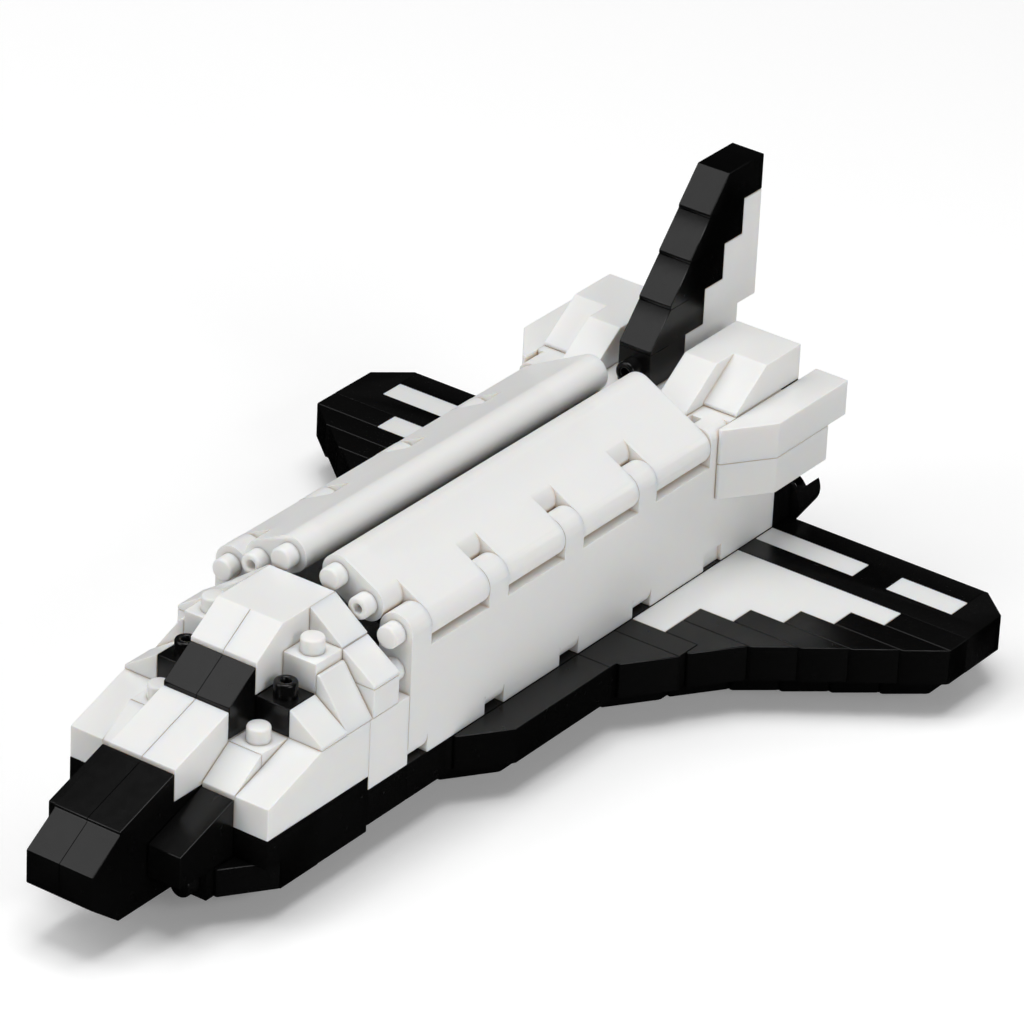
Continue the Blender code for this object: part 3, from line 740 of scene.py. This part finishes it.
def build_wings():
    """Each wing's layers from its trailing edge forward, and the set-in layer below."""
    # first layer, last layer, white from the body out to b, black on to b, with a cut brick at its end
    rows = (
        (-1, 0, 8, 10, False),
        (-2, -1, 7, 10, True),
        (-3, -2, 6, 9, True),
        (-4, -3, 5, 8, True),
        (-5, -4, 4, 7, True),
        (-6, -5, 4, 4, False),
    )
    field = []
    edge = []
    for first, last, white_to, black_to, cut in rows:
        field.append(rear((first, last), (3, white_to), (-1, 0)))
        if cut:
            wedge = rear((first, last), (black_to - 1, black_to), (-1, 0), ("fore", "port"))
            edge.append([rear((first, last), (white_to, black_to - 1), (-1, 0)), wedge])
        elif black_to > white_to:
            edge.append(rear((first, last), (white_to, black_to), (-1, 0)))
    edge += [
        [rear((-7 + SHORT, -5), (5, 6), (-1, 0), ("fore", "port")), rear((-6, -5), (4, 5), (-1, 0))],
        rear((-7, -6), (3, 5), (-1, 0)),
        [rear((-9 + SHORT, -7), (4, 5), (-1, 0), ("fore", "port")), rear((-9, -7), (3, 4), (-1, 0))],
        [rear((-16 + SHORT, -14), (3, 4), (-1, 0), ("fore", "port")), rear((-14, -9), (3, 4), (-1, 0))],
    ]
    pair("wing_field", [field], "white_plastic")
    pair("wing_leading_edge", edge, "black_plastic")
    flap = [
        rear((0, 1), (3, 10), (-1, 0)),
        rear((1, 2), (6, 7), (-1, 0)),
        rear((1, 2), (9, 10), (-1, 0)),
        rear((2, 3), (3, 9), (-1, 0)),
        rear((2, 3), (9, 10), (-1, 0), ("aft", "port")),
    ]
    pair("wing_flap", [flap], "black_plastic", slits=[rear((2, 4), (9 - SLIT, 9 + SLIT), (-SLIT_DEPTH, 1))])
    pair("flap_stripe_inner", [rear((1, 2), (3, 6), (-1, 0))], "white_plastic")
    pair("flap_stripe_outer", [rear((1, 2), (7, 9), (-1, 0))], "white_plastic")
    low = (HULL_BOTTOM, -1)
    under = [rear((0, 3), (3, 9), low)]
    for first, to in ((-1, 9), (-2, 8), (-3, 7), (-4, 6)):
        layer = (first, first + 1)
        under.append(rear(layer, (3, to - 1), low))
        under.append(rear(layer, (to - 1, to), low, ("fore", "port")))
    under += [
        rear((-6, -4), (3, 4), low),
        rear((-6 + SHORT, -4), (4, 5), low, ("fore", "port")),
        rear((-8 + SHORT, -6), (3, 4), low, ("fore", "port")),
    ]
    pair("wing_underside", under, "black_plastic")


def build_engine(name, b, z, notch_turn, slot_turn):
    """A hollow bell, with a notch in its rim, a slot ahead of the notch and a stud in the slot."""
    start = TAIL_END * BRICK + SEAM
    end = start + ENGINE_LENGTH
    notch_start = end - NOTCH_LENGTH
    solid = tapered((start, end), b, z, (ENGINE_R, MOUTH_R))
    cutters = bmesh.new()
    for cutter in (
        tapered((end - BORE_DEPTH, end + CUT_OVER), b, z, (BORE_R, BORE_R)),
        turned_box((notch_start, end + CUT_OVER), b, z, notch_turn, (NOTCH_LOW, CUT_OUT), CUT_OUT),
        turned_box((start + SLOT_START, notch_start), b, z, slot_turn, (SLOT_LOW, CUT_OUT), SLOT_HALF),
    ):
        add_mesh(cutters, cutter)
    solid = combine(solid, cutters, "DIFFERENCE")
    round_edges(solid)
    add_mesh(solid, tapered((start + INNER_START, notch_start - INNER_START), b, z, (INNER_R, INNER_R)))
    new_piece(name + "_engine_bell", solid, "black_plastic", name + "_engine")


def build_tail():
    """The engine pods, the flared sides, the fin and the engine bells."""
    pod = [
        rear((-2 + SHORT, 0), (1, 2), (4, 5), ("fore", "top")),
        rear((0, TAIL_END), (1, 2), (4, 5)),
        rear((-1 + SHORT, 1), (2, 3), (4, 5), ("fore", "top")),
        rear((1, TAIL_END), (2, 3), (4, 5)),
    ]
    pair("pod", [pod], "white_plastic")
    flare = [
        [rear((-2 + SHORT, 0), (3, 4), (3, 4), ("fore", "port")), rear((0, 4), (3, 4), (3, 4))],
        [rear((-2 + SHORT, 0), (3, 4), (2, 3), ("fore", "port")), rear((0, 3), (3, 4), (2, 3))],
    ]
    pair("flare", flare, "white_plastic")
    # level, front of the slope's foot, back of the black, back of the white
    levels = ((5, -1, 2, 5), (6, 0, 3, 5), (7, 1, 4, 5), (8, 2, 5, 5))
    dark = [rear((-1, 1), FIN, (4, 5))]
    light = [rear((1, 4), FIN, (4, 5))]
    under = []
    for level, foot, black_to, white_to in levels:
        dark.append(rear((foot, foot + 1), FIN, (level, level + 1), ("fore", "top")))
        dark.append(rear((foot + 1, black_to), FIN, (level, level + 1)))
        under.append(rear((foot - 1, foot + 1), UNDERCUT, (level - SLIT, level + SLIT)))
        if white_to > black_to:
            light.append(rear((black_to, white_to), FIN, (level, level + 1)))
    bricks("fin_leading_edge", [dark], "black_plastic", [fore_stud(-1, 0, 4.5, True)], under)
    bricks("fin_rudder", [light], "white_plastic")
    build_engine("port", ENGINE_B, ENGINE_Z, NOTCH_TURN, SLOT_TURN)
    build_engine("starboard", -ENGINE_B, ENGINE_Z, 180 - NOTCH_TURN, 180 - SLOT_TURN)
    build_engine("centre", 0, TOP_ENGINE_Z, NOTCH_TURN, SLOT_TURN)


def build_floor():
    """A wide sheet of pale paper, which glows a little."""
    mesh = bmesh.new()
    bmesh.ops.create_grid(mesh, x_segments=FLOOR_CELLS, y_segments=FLOOR_CELLS, size=FLOOR_HALF)
    data = bpy.data.meshes.new("floor")
    mesh.to_mesh(data)
    mesh.free()
    floor = bpy.data.objects.new("floor", data)
    bpy.context.scene.collection.objects.link(floor)
    paper = bpy.data.materials.new("floor_paper")
    paper.use_nodes = True
    tree = paper.node_tree
    shader = tree.nodes["Principled BSDF"]
    spot = tree.nodes.new("ShaderNodeTexCoord").outputs["Object"]
    shader.inputs["Base Color"].default_value = PAPER
    shader.inputs["Emission Color"].default_value = PURE_WHITE
    shader.inputs["Emission Strength"].default_value = PAPER_GLOW
    rough = ramp(tree, noise(tree, spot, PAPER_SCALE), *PAPER_ROUGH)
    tree.links.new(rough, shader.inputs["Roughness"])
    data.materials.append(paper)
    floor.visible_glossy = False


def add_soft_box(name, direction, side, power):
    """A square light that faces the toy."""
    data = bpy.data.lights.new(name, "AREA")
    data.shape = "SQUARE"
    data.size = side
    data.energy = power
    light = bpy.data.objects.new(name, data)
    towards = Vector(direction).normalized()
    light.location = STUDIO_MIDDLE + towards * LIGHT_DISTANCE
    light.rotation_euler = towards.to_track_quat("Z", "Y").to_euler()
    bpy.context.scene.collection.objects.link(light)


def build_studio():
    """Pale floor, soft light from all round and the camera of the photograph."""
    build_floor()
    scene = bpy.context.scene
    world = bpy.data.worlds.new("studio")
    world.use_nodes = True
    background = world.node_tree.nodes["Background"]
    background.inputs["Color"].default_value = PURE_WHITE
    background.inputs["Strength"].default_value = WORLD_LIGHT
    world.cycles_visibility.glossy = False
    scene.world = world
    for box in SOFT_BOXES:
        add_soft_box(*box)
    scene.view_settings.view_transform = "Standard"
    data = bpy.data.cameras.new("camera")
    data.sensor_width = SENSOR
    data.lens = LENS
    data.shift_x = SHIFT_X
    data.shift_y = SHIFT_Y
    data.clip_start, data.clip_end = CLIP
    camera = bpy.data.objects.new("camera", data)
    camera.location = CAMERA_SPOT
    camera.rotation_euler = Euler([math.radians(turn) for turn in CAMERA_TURN])
    scene.collection.objects.link(camera)
    scene.camera = camera


looks = {"white_plastic": white_plastic(), "black_plastic": black_plastic()}
build_nose()
build_cockpit()
build_body()
build_doors()
build_wings()
build_tail()
build_studio()
